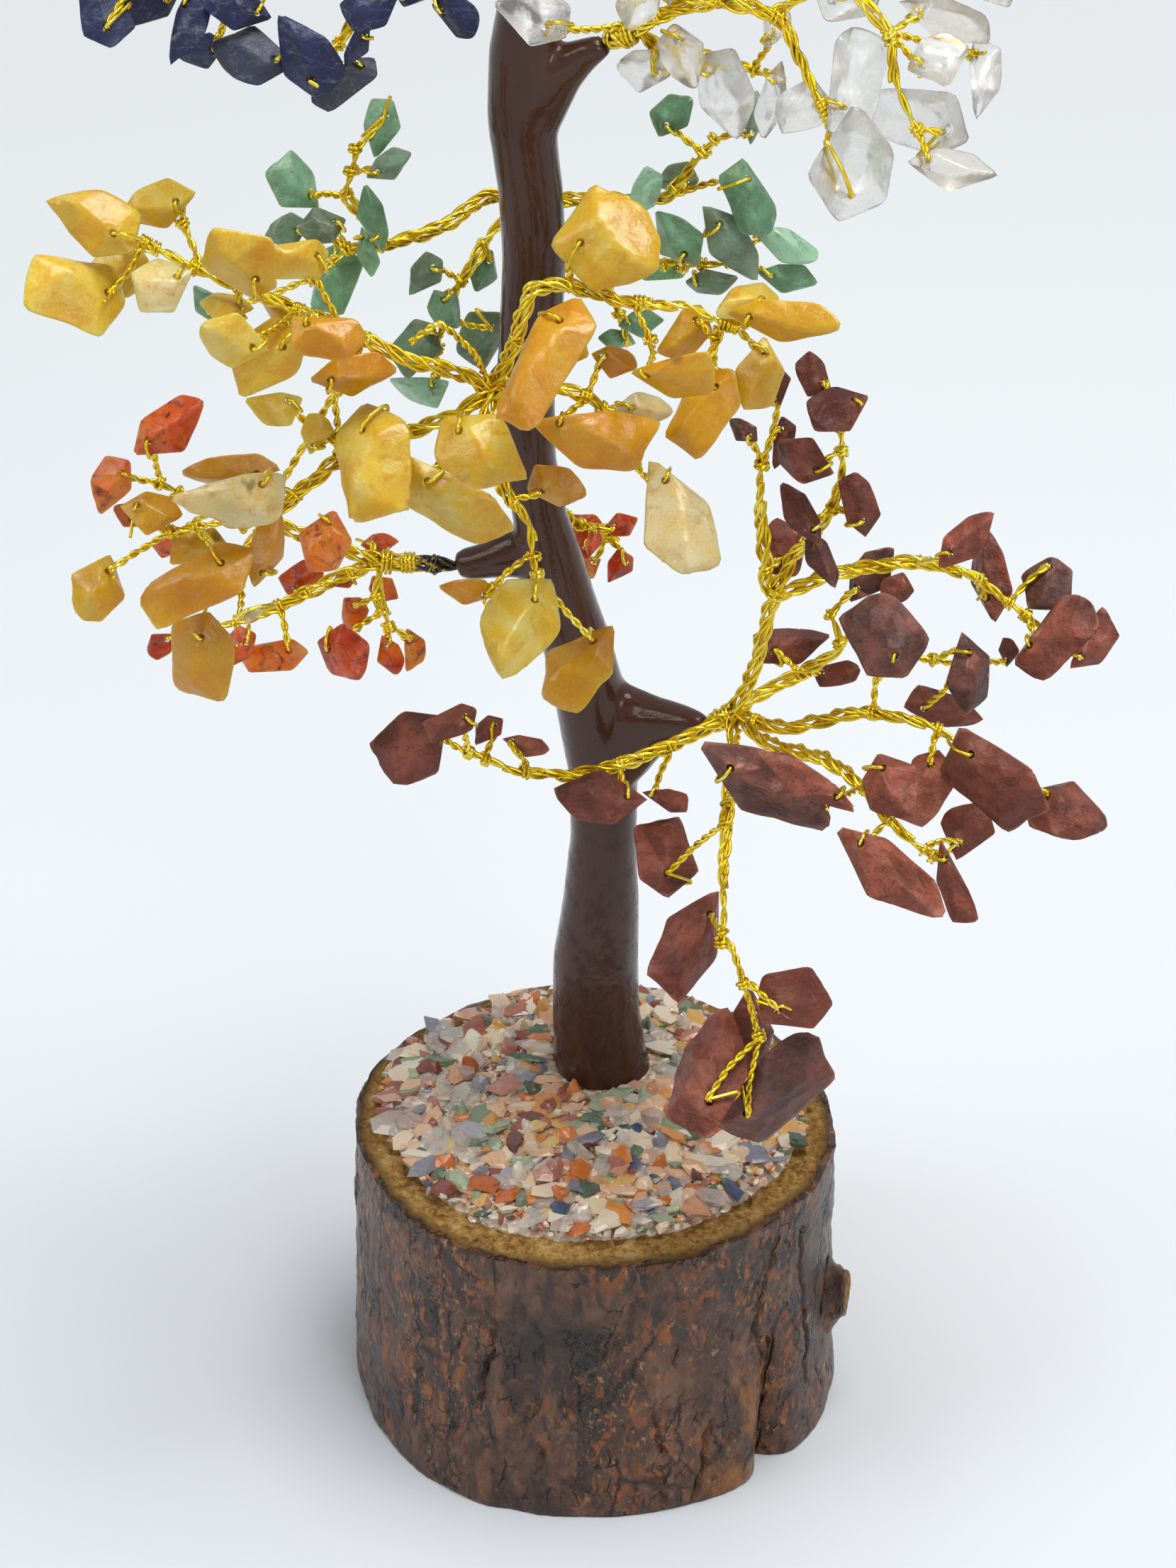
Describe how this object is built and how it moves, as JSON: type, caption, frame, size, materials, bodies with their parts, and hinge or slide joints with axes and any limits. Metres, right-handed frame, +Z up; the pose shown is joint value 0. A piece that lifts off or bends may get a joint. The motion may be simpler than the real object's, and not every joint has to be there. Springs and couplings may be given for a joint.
{
  "type": "gemstone tree ornament",
  "caption": "Table ornament: a wire tree with drilled gemstone chips twisted onto gilt wire boughs, a moulded brown trunk and a round log slice base strewn with crushed stone.",
  "frame": {"origin": "middle of the log slice's flat underside, which stands on the table", "axes": "+Z up through the tree, -Y towards the viewer of the picture, +X to the viewer's right"},
  "size_m": [0.157, 0.0873, 0.2945],
  "materials": {
    "log_wood": "sawn, coarse",
    "log_bark": "bark, lacquered",
    "glue": "cast glue bed",
    "stone_cream": "crushed stone",
    "stone_orange": "crushed stone",
    "stone_green": "crushed stone",
    "stone_clear": "crushed stone",
    "stone_red": "crushed stone",
    "stone_blue": "crushed stone",
    "trunk": "dark brown gloss paint over putty",
    "gilt_wire": "gilt, bright",
    "jasper": "tumbled, satin",
    "carnelian": "tumbled, glossy, translucent",
    "citrine": "tumbled, glossy, translucent",
    "aventurine": "tumbled, glossy, translucent",
    "quartz": "tumbled, glossy, clear to milky",
    "lapis": "tumbled, satin",
    "amethyst": "tumbled, glossy, translucent"
  },
  "bodies": {
    "trunk_and_base": {"glue_bed": "glue", "ground_stones_blue": "stone_blue", "ground_stones_clear": "stone_clear", "ground_stones_cream": "stone_cream", "ground_stones_green": "stone_green", "ground_stones_orange": "stone_orange", "ground_stones_red": "stone_red", "log_bark": "log_bark", "log_side_twig": "log_bark", "log_wood": "log_wood", "trunk_core_wires": "gilt_wire", "trunk_moulding": "trunk"},
    "amethyst_bough": {"amethyst_left_chips": "amethyst", "amethyst_limb_wires": "gilt_wire", "amethyst_right_chips": "amethyst", "amethyst_root_wires": "gilt_wire", "amethyst_twig_wires": "gilt_wire"},
    "aventurine_bough": {"aventurine_left_chips": "aventurine", "aventurine_limb_wires": "gilt_wire", "aventurine_middle_chips": "aventurine", "aventurine_right_chips": "aventurine", "aventurine_root_wires": "gilt_wire", "aventurine_twig_wires": "gilt_wire"},
    "carnelian_bough": {"carnelian_left_chips": "carnelian", "carnelian_limb_wires": "gilt_wire", "carnelian_root_wires": "gilt_wire", "carnelian_twig_wires": "gilt_wire"},
    "carnelian_rear_bough": {"carnelian_rear_chips": "carnelian", "carnelian_rear_limb_wires": "gilt_wire", "carnelian_rear_root_wires": "gilt_wire", "carnelian_rear_twig_wires": "gilt_wire"},
    "citrine_bough": {"citrine_front_chips": "citrine", "citrine_left_chips": "citrine", "citrine_limb_wires": "gilt_wire", "citrine_right_chips": "citrine", "citrine_root_wires": "gilt_wire", "citrine_tip_chips": "citrine", "citrine_twig_wires": "gilt_wire"},
    "jasper_bough": {"jasper_hanging_chips": "jasper", "jasper_left_chips": "jasper", "jasper_limb_wires": "gilt_wire", "jasper_lower_chips": "jasper", "jasper_outer_chips": "jasper", "jasper_root_wires": "gilt_wire", "jasper_twig_wires": "gilt_wire", "jasper_upper_chips": "jasper"},
    "lapis_bough": {"lapis_inner_chips": "lapis", "lapis_limb_wires": "gilt_wire", "lapis_outer_chips": "lapis", "lapis_root_wires": "gilt_wire", "lapis_twig_wires": "gilt_wire"},
    "quartz_bough": {"quartz_inner_chips": "quartz", "quartz_limb_wires": "gilt_wire", "quartz_outer_chips": "quartz", "quartz_root_wires": "gilt_wire", "quartz_twig_wires": "gilt_wire"}
  },
  "joints": [
    {"name": "amethyst_bend", "type": "hinge", "parent": "trunk_and_base", "child": "amethyst_bough", "pos_m": [-0.00653, 0.012, 0.25632], "axis": [0, 1, 0], "range_deg": [-8, 8]},
    {"name": "aventurine_bend", "type": "hinge", "parent": "trunk_and_base", "child": "aventurine_bough", "pos_m": [-0.01, 0.0222, 0.19886], "axis": [1, 0, 0], "range_deg": [-6, 6]},
    {"name": "carnelian_bend", "type": "hinge", "parent": "trunk_and_base", "child": "carnelian_bough", "pos_m": [-0.02086, 0.01393, 0.14374], "axis": [0, 1, 0], "range_deg": [-6, 6]},
    {"name": "carnelian_rear_bend", "type": "hinge", "parent": "trunk_and_base", "child": "carnelian_rear_bough", "pos_m": [-0.00616, 0.02073, 0.14791], "axis": [0, 0, 1], "range_deg": [-8, 8]},
    {"name": "citrine_bend", "type": "hinge", "parent": "trunk_and_base", "child": "citrine_bough", "pos_m": [-0.01307, -0.00064, 0.1818], "axis": [1, 0, 0], "range_deg": [-6, 6]},
    {"name": "jasper_bend", "type": "hinge", "parent": "trunk_and_base", "child": "jasper_bough", "pos_m": [0.01738, 0.00242, 0.12257], "axis": [0, 0, 1], "range_deg": [-9, 9]},
    {"name": "lapis_bend", "type": "hinge", "parent": "trunk_and_base", "child": "lapis_bough", "pos_m": [-0.01856, 0.00903, 0.24496], "axis": [0, 0, 1], "range_deg": [-9, 9]},
    {"name": "quartz_bend", "type": "hinge", "parent": "trunk_and_base", "child": "quartz_bough", "pos_m": [0.00178, 0.00829, 0.22947], "axis": [0, 0, 1], "range_deg": [-8, 8]}
  ]
}
